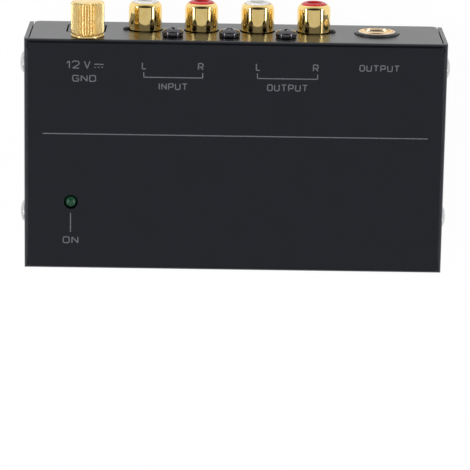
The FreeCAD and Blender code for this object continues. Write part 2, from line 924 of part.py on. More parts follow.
def resistor(x, y):
    """An axial resistor: a waisted body, with leads bent down to the board."""
    z = board_top + resistor_r + resistor_lift
    cap = resistor_l / 5
    waist = resistor_r - resistor_waist
    profile = [
        (0, 0),
        (resistor_r, 0),
        (resistor_r, cap),
        (waist, cap + resistor_waist),
        (waist, resistor_l - cap - resistor_waist),
        (resistor_r, resistor_l - cap),
        (resistor_r, resistor_l),
        (0, resistor_l),
    ]
    body = turned(profile, V(x, y - resistor_l / 2, z), V(0, 1, 0))
    half = resistor_lead_w / 2
    for side in (-1, 1):
        y_out = y + side * resistor_span / 2
        y0, y1 = sorted((y, y_out))
        body = body.fuse(box(x - half, x + half, y0, y1, z - half, z + half))
        y0, y1 = sorted((y_out, y_out - side * resistor_lead_w))
        body = body.fuse(box(x - half, x + half, y0, y1, board_top, z + half))
    return body.removeSplitter()


def main():
    os.makedirs("parts", exist_ok=True)
    save("lid", [lid()])
    save("base_tray", [tray()])
    save("side_screws", side_screws())
    save("rubber_feet", feet())
    save("circuit_board", [board()])
    save("board_standoffs", standoffs())
    save("board_screws", board_screws())
    save("socket_block", [socket_block()])
    for name, x in zip(socket_names, sockets):
        save("shell_" + name, [phono_shell(x)])
        save("insulator_" + name, [phono_insulator(x)])
        save("contact_" + name, [phono_contact(x)])
    save("block_screws", block_screws())
    save("ground_stud", [ground_stud()])
    save("ground_washer", [ground_washer()])
    save("ground_nut", [ground_nut()])
    save("ground_tag", [ground_tag()])
    save("stud_nut", [stud_nut()])
    save("power_inlet_body", [dc_body()])
    save("power_inlet_pin", [dc_pin()])
    save("power_inlet_leaf", [dc_leaf()])
    save("jack_body", [jack_body()])
    save("jack_bushing", [jack_bushing()])
    for name, y in zip(("tip", "ring"), spring_places()):
        save("jack_" + name + "_spring", [jack_spring(y)])
    save("led_lens", [led_lens()])
    save("led_leads", led_leads())
    save("led_spacer", [led_spacer()])
    back_y = rear_in - back_row
    front_row_y = rear_in - front_row
    for i in range(3):
        number = str(i + 1)
        can_x = can_first_x + i * row_pitch
        save("filter_capacitor_" + number, [capacitor_can(can_x, back_y, can_r, can_h)])
        save("coupling_capacitor_" + number, [capacitor_can(can_x, front_row_y, small_can_r, small_can_h)])
        save("film_capacitor_" + number, [film_capacitor(film_first_x + i * row_pitch, back_y)])
    for i in range(2):
        save("amplifier_chip_" + str(i + 1), [amplifier_chip(chip_first_x + i * chip_pitch, front_row_y)])
    save("supply_choke", [choke(choke_x, rear_in - choke_from_rear)])
    save("regulator", [regulator(regulator_x, rear_in - regulator_from_rear)])
    resistor_y = board_y0 + resistor_inset
    resistor_xs = [resistor_first_x + i * resistor_pitch for i in range(resistors)]
    save("resistors", [resistor(x, resistor_y) for x in resistor_xs])


main()
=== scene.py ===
import json
import math

import bmesh
import bpy
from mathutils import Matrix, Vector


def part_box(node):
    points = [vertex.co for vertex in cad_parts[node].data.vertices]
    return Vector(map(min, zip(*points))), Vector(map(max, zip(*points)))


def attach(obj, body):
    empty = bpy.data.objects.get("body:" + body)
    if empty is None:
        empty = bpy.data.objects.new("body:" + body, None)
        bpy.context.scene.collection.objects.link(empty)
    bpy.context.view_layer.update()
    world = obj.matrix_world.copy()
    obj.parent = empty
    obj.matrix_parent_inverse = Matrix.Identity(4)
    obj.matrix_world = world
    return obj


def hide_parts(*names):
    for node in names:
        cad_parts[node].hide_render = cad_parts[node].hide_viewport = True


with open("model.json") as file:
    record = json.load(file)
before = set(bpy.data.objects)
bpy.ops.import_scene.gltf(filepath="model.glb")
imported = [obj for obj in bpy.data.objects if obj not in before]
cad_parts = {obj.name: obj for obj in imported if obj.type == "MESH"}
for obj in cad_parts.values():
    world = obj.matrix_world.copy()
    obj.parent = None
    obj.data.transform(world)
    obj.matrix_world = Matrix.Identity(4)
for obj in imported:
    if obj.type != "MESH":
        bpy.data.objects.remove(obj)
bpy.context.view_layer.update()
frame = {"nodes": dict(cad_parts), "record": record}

# Sizes are in millimetres and become metres where a piece is made.
MM = 0.001


def middle(node):
    """The middle of a node's box, in millimetres."""
    low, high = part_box(node)
    return [(a + b) / 2 / MM for a, b in zip(low, high)]


def span(node, axis):
    """A node's lowest and highest place along an axis, in millimetres."""
    low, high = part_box(node)
    return low[axis] / MM, high[axis] / MM


def half_width(node):
    """Half a node's width, which is the radius of a turned piece, in millimetres."""
    low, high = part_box(node)
    return (high.x - low.x) / 2 / MM


# Meshes
SIDES = 96
FOOT_SIDES = 64
SMALL_SIDES = 32
SAME_POINT = 1e-6
SHARP = math.radians(32)
FOLD_SHARP = math.radians(28)
FLUTE_SHARP = math.radians(40)
TURNS = {
    "+X": (0, math.pi / 2, 0),
    "-X": (0, -math.pi / 2, 0),
    "+Y": (-math.pi / 2, 0, 0),
    "+Z": (0, 0, 0),
}

# The folded lid, and the paint that fills its seams and reliefs
LEFT, RIGHT = span("lid", 0)
FRONT, REAR = span("lid", 1)
TOP = span("lid", 2)[1]
MIDDLE_Y = (FRONT + REAR) / 2
SHEET = 1.0
SEAM = 0.3
END_BEND = 1.2
BEND_STEPS = 8
RELIEF_DEPTH = 2.0
RELIEF_R = 0.45
SEAL_DROP = 0.4
SUNK = 0.004
PLUG_SUNK = 0.006
PLUG_CLEAR = 0.005

# The four phono sockets, from the left. MOUTH_Y is where the photograph shows their mouths, which
# is nearer to the panel than the source has them.
SOCKET_NAMES = ("input_left", "input_right", "output_left", "output_right")
SOCKET_Z = middle("insulator_input_left")[2]
MOUTH_Y = 30.9
SHELL_WALL = 0.95
SHELL_SEAT_R = 3.8
SHELL_SHOULDER = 0.2
SHELL_EDGE = 0.1
SHELL_CROWN = 3.0
SHELL_ROUND = 0.95
SHELL_ROUND_LONG = 1.7
SHELL_STEPS = 10
LEG_HALF = 0.75
LEG_THICK = 0.6
LEG_LAP = 0.3
LEG_EDGE = 0.05
INSERT_COUNTER = 2.35
INSERT_HOLE = 1.85
INSERT_LIP = 1.5
INSERT_PROUD = 0.5
INSERT_BACK = 0.25
INSERT_FLAT = 0.3
INSERT_STEPS = 7
HOLE_EDGE = ((0.12, 0.06), (0.0, 0.25))
CONTACT_FRONT = 4

# Locating pegs
PEG_R = 0.9
PEG_OFFSET = 4.65
PEG_ROOT = 0.3
PEG_PLAIN = 0.15
PEG_DOME = 0.55
PEG_STEPS = 6
PEG_POLE = 0.03

# Screws: the head's radius and height, then the shank's radius and length. A head's foot is
# given as how far in and how high each ring is, and its recess in shares of the head.
BLOCK_SCREW = (2.6, 2.1, 1.4, 4.0)
BLOCK_SPINS = (12, 40, 75)
SIDE_SCREW = (2.8, 2.2, 1.4, 3.0)
SIDE_SPINS = (20, 55, 110, 5)
HEAD_FOOT = ((0.2, 0), (0.03, 0.15), (0, 0.35))
HEAD_RIM = 0.5
HEAD_STEPS = 10
HEAD_POLE = 0.04
RECESS_REACH = 0.55
RECESS_WIDTH = 0.24
RECESS_DEPTH = 0.6
RECESS_OVER = 0.1
RECESS_TAPER = (0.45, 0.8, 1)

# The thumb nut and its washer. The face's rings are given as how far in and how far down.
STUD_R = 2.05
NUT_BORE = 7.2
NUT_FOOT = 0.35
NUT_EDGE = 0.5
NUT_FACE = ((0.4, 0.12), (0.65, 0))
NUT_DISH_R = 1.0
NUT_DISH = 0.03
FLUTES = 34
FLUTE_PHASES = 6
FLUTE_DEPTH = 0.46
FLUTE_SHAPE = 1.3
FLUTE_RUN = 0.35
ON_RING = 0.01
WASHER_R = 4.1
WASHER_CLEAR = 0.08
WASHER_FOOT = 0.08
WASHER_ROUND = 0.16

# The output jack: its moulded nose and the sleeve's flared lip
NOSE_R = 5.51
NOSE_GAP = 0.05
NOSE_DEPTH = 0.9
NOSE_ROUND = 0.3
NOSE_EDGE = 0.05
JACK_BORE_R = 3.22
JACK_PROUD = 0.6
JACK_LIP = 0.16
JACK_LIP_R = 4.75
LIP_LAP = 0.01
LIP_EDGE = ((0, 0.08), (0.03, 0.03), (0.1, 0))
FLARE = 0.85
FLARE_LONG = 1.1
FLARE_STEPS = 9

# The power light's lens
LED_R = 1.5
LED_FLANGE = 1.0
LED_EDGE = 0.1
LED_STEPS = 12
LED_POLE = 0.02

# The feet: the flat of the sole has two rings, this far in
FOOT_R = 4.5
FOOT_ROUND = 0.7
FOOT_FLAT = (1.9, 1.5)

# Each letter's strokes in a box of one by one, as a squared sign-maker's alphabet
LETTERS = {
    "1": [[(0, 0.7), (0.9, 1)], [(1, 1), (1, 0)]],
    "2": [
        [(0, 0.78), (0.08, 0.93), (0.25, 1), (0.75, 1), (0.93, 0.93)]
        + [(1, 0.78), (1, 0.64), (0.9, 0.5), (0, 0)],
        [(0, 0), (1, 0)],
    ],
    "V": [[(0, 1), (0.5, 0)], [(0.5, 0), (1, 1)]],
    "G": [
        [(1, 0.8), (0.93, 0.93), (0.75, 1), (0.25, 1), (0.07, 0.93)]
        + [(0, 0.78), (0, 0.22), (0.07, 0.07), (0.25, 0), (1, 0)],
        [(1, 0), (1, 0.48)],
        [(1, 0.48), (0.55, 0.48)],
    ],
    "N": [[(0, 0), (0, 1)], [(0, 1), (1, 0)], [(1, 0), (1, 1)]],
    "D": [
        [(0, 0), (0, 1)],
        [(0, 1), (0.75, 1), (0.93, 0.93), (1, 0.78), (1, 0.22), (0.93, 0.07), (0.75, 0), (0, 0)],
    ],
    "L": [[(0, 1), (0, 0)], [(0, 0), (1, 0)]],
    "R": [
        [(0, 0), (0, 1)],
        [(0, 1), (0.75, 1), (0.94, 0.94), (1, 0.82), (1, 0.6), (0.94, 0.48), (0.75, 0.42)]
        + [(0, 0.42)],
        [(0.5, 0.42), (1, 0)],
    ],
    "P": [
        [(0, 0), (0, 1)],
        [(0, 1), (0.75, 1), (0.94, 0.94), (1, 0.82), (1, 0.58), (0.94, 0.46), (0.75, 0.4)]
        + [(0, 0.4)],
    ],
    "I": [[(0.5, 0), (0.5, 1)]],
    "U": [
        [(0, 1), (0, 0.22), (0.07, 0.07), (0.25, 0), (0.75, 0), (0.93, 0.07), (1, 0.22), (1, 1)],
    ],
    "T": [[(0, 1), (1, 1)], [(0.5, 1), (0.5, 0)]],
    "O": [
        [(0.25, 1), (0.07, 0.93), (0, 0.78), (0, 0.22), (0.07, 0.07), (0.25, 0), (0.75, 0)]
        + [(0.93, 0.07), (1, 0.22), (1, 0.78), (0.93, 0.93), (0.75, 1), (0.25, 1)],
    ],
}
LETTER_WIDTHS = {"I": 0.05, "1": 0.4, "L": 0.9}
LETTER_GAP = 0.28
STROKE = 0.27
LINE = 0.26
INK = 0.03

# Lettering: words, then left, right, low and high from the middle of the top
LEGENDS = (
    ("12", -41.6, -38.3, 21.8, 23.8),
    ("V", -37.25, -35.65, 21.7, 23.8),
    ("GND", -40.1, -34.25, 18.55, 20.25),
    ("L", -23.05, -21.9, 21.85, 23.65),
    ("R", -9.3, -7.9, 21.85, 23.65),
    ("INPUT", -18.9, -11.8, 16.8, 18.5),
    ("L", 4.9, 6.05, 21.9, 23.7),
    ("R", 18.9, 20.3, 21.9, 23.7),
    ("OUTPUT", 7.75, 17.75, 16.85, 18.6),
    ("OUTPUT", 30.3, 40.2, 22.1, 23.75),
    ("ON", -42.4, -38.5, -22.5, -20.7),
)
BRACKET_LEAN = 0.1
BRACKETS = ((-22.6, -8.1, 19.9, 21.15), (5.3, 20.1, 20.0, 21.25))
LINES = (
    ((-34.65, 22.95), (-32.45, 22.93)),
    ((-34.7, 22.2), (-34.35, 22.2)),
    ((-33.85, 22.2), (-33.45, 22.2)),
    ((-32.95, 22.2), (-32.55, 22.2)),
    ((-40.48, -19.6), (-40.48, -14.7)),
    ((-47.4, 5.42), (47.6, 5.42)),
)

# The floor and the key light, in metres
FLOOR_SIZE = 6
FLOOR_GLOW = 0.97
FLOOR_MIRRORED = 0.97
KEY_PLACE = (-0.25, 0.1, 1.1)
KEY_TURN = (-5, -13, 0)
KEY_SIZE = 0.9
KEY_POWER = 9.0

# The world's walls by the sine of their height, then its softbox and side strips by direction
WALLS = ((0.0, 0.9), (0.25, 0.6), (0.5, 0.3), (0.6, 0.04), (1.0, 0.03))
SOFTBOX_HALF = 0.67
SOFTBOX_END = 0.38
SOFTBOX_LOW = 0.62
SOFTBOX_LEVEL = 0.6
STRIP = (0.78, 0.86)
STRIP_HALF = 0.5
STRIP_LOW = 0.3
STRIP_LEVEL = 6.0

# The photograph's camera: its place in metres and its turn in degrees
CAMERA_PLACE = (-0.00458, 0.15583, 0.7248)
CAMERA_TURN = (-14.522, -0.181, 0.899)
CAMERA_LENS = 221.85
CAMERA_SENSOR = 36.0
CAMERA_NEAR = 0.01


class Wire:
    """One output of a node, so that shader maths reads as an ordinary expression."""

    def __init__(self, paint, socket):
        self.paint = paint
        self.socket = socket

    def maths(self, operation, other):
        return self.paint.node("ShaderNodeMath", {"operation": operation}, {0: self, 1: other})

    def __add__(self, other):
        return self.maths("ADD", other)

    def __mul__(self, other):
        return self.maths("MULTIPLY", other)

    def above(self, level):
        return self.maths("GREATER_THAN", level)

    def below(self, level):
        return self.maths("LESS_THAN", level)

    __radd__ = __add__
    __rmul__ = __mul__


class Paint:
    """The nodes of one material, or of the studio's sky."""

    def __init__(self, owner):
        self.owner = owner
        owner.use_nodes = True
        self.tree = owner.node_tree
        self.tree.nodes.clear()
        self.place = self.node("ShaderNodeTexCoord", output="Object")

    def node(self, kind, settings=None, sockets=None, output=0):
        """Add a node with its settings, a ramp's stops among them, then its values or links."""
        made = self.tree.nodes.new(kind)
        for key, value in (settings or {}).items():
            if key == "stops":
                set_stops(made.color_ramp, value)
            else:
                setattr(made, key, value)
        for key, value in (sockets or {}).items():
            if isinstance(value, Wire):
                self.tree.links.new(value.socket, made.inputs[key])
            else:
                made.inputs[key].default_value = value
        return Wire(self, made.outputs[output]) if len(made.outputs) else None

    def noise(self, size, detail=2.0, stretch=(1, 1, 1)):
        """Noise from 0 to 1 whose grains are about this many millimetres across."""
        scaled = self.node("ShaderNodeMapping", None, {"Vector": self.place, "Scale": stretch})
        sockets = {"Vector": scaled, "Scale": 1 / (size * MM), "Detail": detail}
        return self.node("ShaderNodeTexNoise", None, sockets)

    def tint(self, factor, low, high):
        """A colour between two others."""
        stops = [(0.3, low), (0.7, high)]
        return self.node("ShaderNodeValToRGB", {"stops": stops}, {"Fac": factor})

    def bump(self, height, depth, edge):
        """A normal raised by a height, over edges that look rounded where a radius is given."""
        sockets = {"Height": height, "Distance": depth * MM, "Strength": 1.0}
        if edge:
            sockets["Normal"] = self.node("ShaderNodeBevel", {"samples": 6}, {"Radius": edge * MM})
        return self.node("ShaderNodeBump", None, sockets)

    def finish(self, shader):
        """End the material in its shader."""
        self.node("ShaderNodeOutputMaterial", None, {"Surface": shader})
        return self.owner


def new_paint(name):
    return Paint(bpy.data.materials.new(name))


def set_stops(ramp, stops):
    """Give a colour ramp its stops, each a place and a colour."""
    while len(ramp.elements) < len(stops):
        ramp.elements.new(1.0)
    for element, (place, colour) in zip(ramp.elements, stops):
        element.position = place
        element.color = (*colour, 1.0)


def surface(name, low, high, rough, grain, depth, edge, spread, patch, **constants):
    """A finish whose colour and roughness drift from patch to patch, over a fine raised grain."""
    paint = new_paint(name)
    drift = paint.noise(patch)
    grains = paint.noise(grain, 3.0)
    sockets = {
        "Base Color": paint.tint(drift, low, high),
        "Roughness": rough - spread / 2 + drift * spread,
        "Normal": paint.bump(grains, depth, edge),
    }
    sockets.update({key.replace("_", " "): value for key, value in constants.items()})
    return paint.finish(paint.node("ShaderNodeBsdfPrincipled", None, sockets))


def grey(value, blue=1.0):
    return (value, value, value * blue)


def powder_black():
    """Black powder paint: a fine, even grain, and a sheen that is stronger at a low angle."""
    return surface(
        "case_black", (0.0010, 0.0011, 0.0014), (0.0016, 0.0017, 0.0022),
        rough=0.29, grain=0.12, depth=0.0028, edge=0.22, spread=0.04, patch=6.0,
        Specular_Tint=(0.70, 0.74, 0.88, 1.0),
    )


def polished_gold():
    """The socket shells' bright plate."""
    return surface(
        "gold_polished", (0.92, 0.67, 0.25), (0.98, 0.76, 0.33),
        rough=0.06, grain=0.5, depth=0.0005, edge=0.05, spread=0.03, patch=2.0, Metallic=1.0,
    )


def matte_gold():
    """The thumb nut's and the washer's satin plate."""
    return surface(
        "gold_matte", (0.96, 0.70, 0.30), (1.0, 0.80, 0.40),
        rough=0.3, grain=0.09, depth=0.0006, edge=0.04, spread=0.06, patch=1.5, Metallic=1.0,
    )


def pale_gold():
    """The jack sleeve's paler, duller plate."""
    return surface(
        "gold_pale", (0.90, 0.70, 0.46), (0.96, 0.78, 0.54),
        rough=0.26, grain=0.3, depth=0.0005, edge=0.05, spread=0.05, patch=2.0, Metallic=1.0,
    )


def moulded(name, low, high, rough, gloss=0.5):
    """Moulded plastic or rubber with a faint grain."""
    return surface(
        name, low, high, rough,
        grain=0.25, depth=0.002, edge=0.1, spread=0.08, patch=2.5, Specular_IOR_Level=gloss,
    )


def black_nickel():
    """Black nickel plate on the panel's screws: dark, and nearly a mirror."""
    return surface(
        "black_screw", (0.085, 0.082, 0.09), (0.12, 0.115, 0.125),
        rough=0.14, grain=0.3, depth=0.001, edge=0.05, spread=0.06, patch=0.8, Metallic=1.0,
    )


def zinc_plate():
    return surface(
        "zinc_steel", (0.50, 0.51, 0.52), (0.66, 0.67, 0.66),
        rough=0.28, grain=0.2, depth=0.0015, edge=0.06, spread=0.1, patch=1.2, Metallic=1.0,
    )


def tinned():
    return surface(
        "tin", (0.55, 0.55, 0.52), (0.70, 0.70, 0.67),
        rough=0.34, grain=0.2, depth=0.002, edge=0.05, spread=0.1, patch=1.0, Metallic=1.0,
    )


def lamp_green():
    """The unlit light: dark tinted plastic with a wet gloss."""
    return surface(
        "led_green", (0.002, 0.026, 0.011), (0.004, 0.045, 0.018),
        rough=0.08, grain=0.4, depth=0.0005, edge=0.0, spread=0.03, patch=0.6,
        Specular_IOR_Level=0.5,
    )


def board_lacquer():
    """Circuit board lacquer over a faint weave."""
    paint = new_paint("board_green")
    weave = paint.noise(0.35, 2.0, (1, 4, 1)) + paint.noise(0.35, 2.0, (4, 1, 1))
    sockets = {
        "Base Color": paint.tint(weave * 0.5, (0.010, 0.095, 0.040), (0.016, 0.150, 0.065)),
        "Roughness": 0.28 + weave * 0.06,
        "Normal": paint.bump(weave, 0.004, 0.05),
    }
    return paint.finish(paint.node("ShaderNodeBsdfPrincipled", None, sockets))


def screen_ink():
    """The grey ink of the printed legends."""
    return surface(
        "legend_grey", grey(0.082, 1.14), grey(0.100, 1.14),
        rough=0.5, grain=0.09, depth=0.002, edge=0.0, spread=0.1, patch=0.5,
    )


def floor_paint():
    """A pale floor that the camera and mirrors see nearly white, with a faint shadow."""
    paint = new_paint("floor_pale")
    colour = paint.tint(paint.noise(90.0), grey(0.80), grey(0.82))
    matte = paint.node("ShaderNodeBsdfDiffuse", None, {"Color": colour})
    glow = paint.node("ShaderNodeEmission", None, {"Color": (1, 1, 1, 1), "Strength": 1.0})
    camera, mirrored, passed = [
        paint.node("ShaderNodeLightPath", output=ray)
        for ray in ("Is Camera Ray", "Is Glossy Ray", "Is Transmission Ray")
    ]
    share = camera * FLOOR_GLOW + mirrored * FLOOR_MIRRORED + passed * FLOOR_GLOW
    return paint.finish(paint.node("ShaderNodeMixShader", None, {0: share, 1: matte, 2: glow}))


def start_clean():
    """Leave edit mode and deselect everything."""
    if bpy.context.mode != "OBJECT":
        bpy.ops.object.mode_set(mode="OBJECT")
    bpy.ops.object.select_all(action="DESELECT")


def pick(piece):
    """Make a piece the only selected one, and the active one."""
    start_clean()
    piece.select_set(True)
    bpy.context.view_layer.objects.active = piece


def settle(piece):
    """Put a piece's place into its mesh, so that its object sits at the origin."""
    pick(piece)
    bpy.ops.object.transform_apply(location=True, rotation=True, scale=True)
    return piece


def tidy_mesh(piece, sharp=SHARP):
    """Merge what coincides, face outward and shade round surfaces smooth."""
    pick(piece)
    bpy.ops.object.mode_set(mode="EDIT")
    bpy.ops.mesh.select_all(action="SELECT")
    bpy.ops.mesh.remove_doubles(threshold=SAME_POINT)
    bpy.ops.mesh.normals_make_consistent(inside=False)
    bpy.ops.object.mode_set(mode="OBJECT")
    bpy.ops.object.shade_smooth_by_angle(angle=sharp)
    return piece


def modified(piece, kind, **settings):
    """Give a piece a modifier and apply it."""
    pick(piece)
    change = piece.modifiers.new(kind.lower(), kind)
    for key, value in settings.items():
        setattr(change, key, value)
    bpy.ops.object.modifier_apply(modifier=change.name)
    return piece


def select_where(piece, parts, test):
    """Enter edit mode with only the "verts" or "faces" selected that pass a test."""
    pick(piece)
    bpy.ops.object.mode_set(mode="EDIT")
    bpy.ops.mesh.select_mode(type="VERT")
    bpy.ops.mesh.select_all(action="DESELECT")
    shape = bmesh.from_edit_mesh(piece.data)
    for part in getattr(shape, parts):
        part.select = test(part)
    shape.select_flush_mode()
    bmesh.update_edit_mesh(piece.data)


def turned(rings, closed=True, sides=SIDES):
    """A piece turned about Z: (radius, height) rings, each extruded from the one before."""
    start_clean()
    radius, height = rings[0]
    place = (0, 0, height * MM)
    bpy.ops.mesh.primitive_circle_add(vertices=sides, radius=radius * MM, location=place)
    piece = bpy.context.object
    bpy.ops.object.transform_apply(location=True)
    bpy.ops.object.mode_set(mode="EDIT")
    bpy.ops.mesh.select_all(action="SELECT")
    for next_radius, next_height in rings[1:]:
        step = (0, 0, (next_height - height) * MM)
        bpy.ops.mesh.extrude_region_move(TRANSFORM_OT_translate={"value": step})
        grow = next_radius / radius
        centre = (0, 0, next_height * MM)
        bpy.ops.transform.resize(value=(grow, grow, 1), center_override=centre)
        radius, height = next_radius, next_height
    bpy.ops.mesh.select_all(action="SELECT")
    if closed:
        bpy.ops.mesh.fill_holes(sides=0)
    bpy.ops.object.mode_set(mode="OBJECT")
    return piece


def quarter(steps, first=0):
    """The cosine and sine of each step over a quarter turn."""
    turns = [math.pi / 2 * i / steps for i in range(first, steps + 1)]
    return [(math.cos(turn), math.sin(turn)) for turn in turns]


def round_edge(radius, height, r, steps=5, rising=True):
    """Rings that round an outer edge from the wall at a radius to a face at a height."""
    rings = [(radius - r + r * c, height - r + r * s) for c, s in quarter(steps)]
    return rings if rising else rings[::-1]


def stand(piece, place, facing, spin=0.0):
    """Turn a piece that was made about Z to its facing, and move it to its place."""
    if spin:
        piece.rotation_euler = (0, 0, math.radians(spin))
        settle(piece)
    piece.rotation_euler = TURNS[facing]
    piece.location = [value * MM for value in place]
    return settle(piece)


def join(pieces, name):
    """Make several objects one, under a name."""
    start_clean()
    for piece in pieces:
        piece.select_set(True)
    bpy.context.view_layer.objects.active = pieces[0]
    bpy.ops.object.join()
    pieces[0].name = name
    return pieces[0]


def fit(piece, name, paint, body="case", replaced=()):
    """Name a piece, paint it and seat it on its body."""
    piece.name = name
    piece.data.materials.clear()
    piece.data.materials.append(paint)
    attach(piece, body)
    if replaced:
        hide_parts(*replaced)
    return piece


def smoothed(node, name, paint):
    """A merged copy of a CAD node whose bends shade round and whose flats stay flat."""
    piece = bpy.data.objects.new(name, frame["nodes"][node].data.copy())
    bpy.context.scene.collection.objects.link(piece)
    pick(piece)
    bpy.ops.object.mode_set(mode="EDIT")
    bpy.ops.mesh.select_all(action="SELECT")
    bpy.ops.mesh.remove_doubles(threshold=SAME_POINT)
    bpy.ops.object.mode_set(mode="OBJECT")
    bpy.ops.object.shade_smooth_by_angle(angle=FOLD_SHARP)
    modified(piece, "WEIGHTED_NORMAL", keep_sharp=True)
    return fit(piece, name, paint, replaced=(node,))


def cross_cutter(reach, width, top, depth):
    """The two tapered arms of a cross that cuts a screw's recess."""
    arms = []
    for turn in (0, 90):
        start_clean()
        bpy.ops.mesh.primitive_cube_add(size=1, location=(0, 0, (top - depth / 2) * MM))
        arm = bpy.context.object
        arm.scale = (2 * reach * MM, width * MM, depth * MM)
        settle(arm)
        select_where(arm, "faces", lambda face: face.normal.z < -0.5)
        bpy.ops.transform.resize(value=RECESS_TAPER, center_override=(0, 0, 0))
        bpy.ops.object.mode_set(mode="OBJECT")
        arm.rotation_euler = (0, 0, math.radians(turn))
        arms.append(settle(arm))
    return arms


def screw(head_r, head_h, shank_r, shank):
    """A pan head screw with a domed top and a cross recess, its seat at height 0."""
    rim = HEAD_RIM * head_h
    rings = [(shank_r, -shank), (shank_r, 0)]
    rings += [(head_r - inward, height) for inward, height in HEAD_FOOT] + [(head_r, rim)]
    rings += [
        (max(head_r * c, HEAD_POLE), rim + (head_h - rim) * s) for c, s in quarter(HEAD_STEPS, 1)
    ]
    piece = turned(rings)
    reach, width, depth = RECESS_REACH * head_r, RECESS_WIDTH * head_r, RECESS_DEPTH * head_h
    for arm in cross_cutter(reach, width, head_h + RECESS_OVER, depth):
        modified(piece, "BOOLEAN", object=arm, operation="DIFFERENCE", solver="EXACT")
        bpy.data.objects.remove(arm)
    return tidy_mesh(piece)


def screws(name, node, places, spins, sizes, paint):
    """All the screws of one node: one is modelled, and each that shows is its copy."""
    first = screw(*sizes)
    copies = []
    for (place, facing), spin in zip(places, spins):
        copy = first.copy()
        copy.data = first.data.copy()
        bpy.context.scene.collection.objects.link(copy)
        copies.append(stand(copy, place, facing, spin))
    bpy.data.objects.remove(first)
    return fit(join(copies, name), name, paint, replaced=(node,))


def panel_screws(paint):
    """The socket block's screws, one between each two sockets."""
    sockets = [middle("shell_" + name)[0] for name in SOCKET_NAMES]
    z = middle("block_screws")[2]
    places = [(((a + b) / 2, REAR, z), "+Y") for a, b in zip(sockets, sockets[1:])]
    name, node = "panel_screws", "block_screws"
    return screws(name, node, places, BLOCK_SPINS, BLOCK_SCREW, paint)


def case_screws(paint):
    """The lid's screws, two on each side."""
    z = middle("side_screws")[2]
    low, high = span("side_screws", 1)
    head_r = SIDE_SCREW[0]
    rows = (low + head_r, high - head_r)
    places = [((x, y, z), way) for x, way in ((LEFT, "-X"), (RIGHT, "+X")) for y in rows]
    name, node = "case_screws", "side_screws"
    return screws(name, node, places, SIDE_SPINS, SIDE_SCREW, paint)


def stamped_leg(x, back, bottom, top):
    """A leg stamped from strip, with broken edges."""
    start_clean()
    bpy.ops.mesh.primitive_cube_add(size=1)
    leg = bpy.context.object
    leg.location = (x * MM, (back + LEG_THICK / 2) * MM, (bottom + top) / 2 * MM)
    leg.scale = (2 * LEG_HALF * MM, LEG_THICK * MM, (top - bottom) * MM)
    settle(leg)
    edge = LEG_EDGE * MM
    return modified(
        leg, "BEVEL", width=edge, segments=1, limit_method="ANGLE", angle_limit=SHARP
    )


def gold_shell(name, paint):
    """A socket's polished shell: a tube with a round shoulder at its mouth, and its leg."""
    node = "shell_" + name
    back = span(node, 1)[0]
    radius = half_width(node)
    bore = radius - SHELL_WALL
    length = MOUTH_Y - back
    seat = REAR + SHELL_SHOULDER - back
    rings = [(bore, 0), (SHELL_SEAT_R, 0), (SHELL_SEAT_R, seat)]
    rings += [(radius - SHELL_EDGE, seat), (radius, seat + SHELL_EDGE)]
    rings += [(radius, length - SHELL_CROWN)]
    rings += [
        (radius - SHELL_ROUND * (1 - c), length - SHELL_ROUND_LONG * (1 - s))
        for c, s in quarter(SHELL_STEPS)
    ]
    rings += [(bore + SHELL_EDGE, length), (bore, length - SHELL_EDGE), (bore, 0)]
    x = middle(node)[0]
    tube = tidy_mesh(stand(turned(rings, closed=False), (x, back, SOCKET_Z), "+Y"))
    leg = stamped_leg(x, back, span(node, 2)[0], SOCKET_Z - SHELL_SEAT_R + LEG_LAP)
    name = "gold_" + node
    return fit(join([tube, leg], name), name, paint, replaced=(node,))


def coloured_insert(name, paint):
    """The moulded insert: a domed face with a hole for the plug's pin."""
    node = "insulator_" + name
    back = span(node, 1)[0]
    radius = half_width(node)
    length = MOUTH_Y + INSERT_PROUD - back
    inside = MOUTH_Y - INSERT_LIP - back
    dome = INSERT_PROUD + INSERT_BACK
    flat = INSERT_HOLE + INSERT_FLAT
    rings = [(INSERT_COUNTER, 0), (radius, 0), (radius, length - dome)]
    rings += [
        (flat + (radius - flat) * c, length - dome * (1 - s)) for c, s in quarter(INSERT_STEPS, 1)
    ]
    rings += [(INSERT_HOLE + outward, length - down) for outward, down in HOLE_EDGE]
    rings += [(INSERT_HOLE, inside), (INSERT_COUNTER, inside), (INSERT_COUNTER, 0)]
    piece = stand(turned(rings, closed=False), (middle(node)[0], back, SOCKET_Z), "+Y")
    return fit(tidy_mesh(piece), "coloured_" + node, paint, replaced=(node,))


def socket_contact(name, paint):
    """The slit centre contact, which ends just behind the insert's lip."""
    node = "contact_" + name
    shorter = span("shell_" + name, 1)[1] - MOUTH_Y
    piece = smoothed(node, "slit_" + node, paint)
    select_where(piece, "verts", lambda point: point.co.y > (REAR + CONTACT_FRONT) * MM)
    bpy.ops.transform.translate(value=(0, -shorter * MM, 0))
    bpy.ops.object.mode_set(mode="OBJECT")
    return piece


def phono_sockets(gold, red, white, tin):
    """The four sockets: red for right, white for left."""
    for name in SOCKET_NAMES:
        gold_shell(name, gold)
        if name.endswith("right"):
            coloured_insert(name, red)
        else:
            coloured_insert(name, white)
        socket_contact(name, tin)


def peg_caps(paint):
    """The two round-ended locating pegs that show through the panel."""
    first, last = middle("shell_input_left")[0], middle("shell_output_right")[0]
    rings = [(PEG_R, -PEG_ROOT), (PEG_R, PEG_PLAIN)]
    rings += [
        (max(PEG_R * c, PEG_POLE), PEG_PLAIN + PEG_DOME * s) for c, s in quarter(PEG_STEPS, 1)
    ]
    caps = []
    for x in (first - PEG_OFFSET, last + PEG_OFFSET):
        cap = stand(turned(rings, sides=SMALL_SIDES), (x, REAR, SOCKET_Z), "+Y")
        caps.append(tidy_mesh(cap))
    return fit(join(caps, "peg_caps"), "locating_pegs", paint)


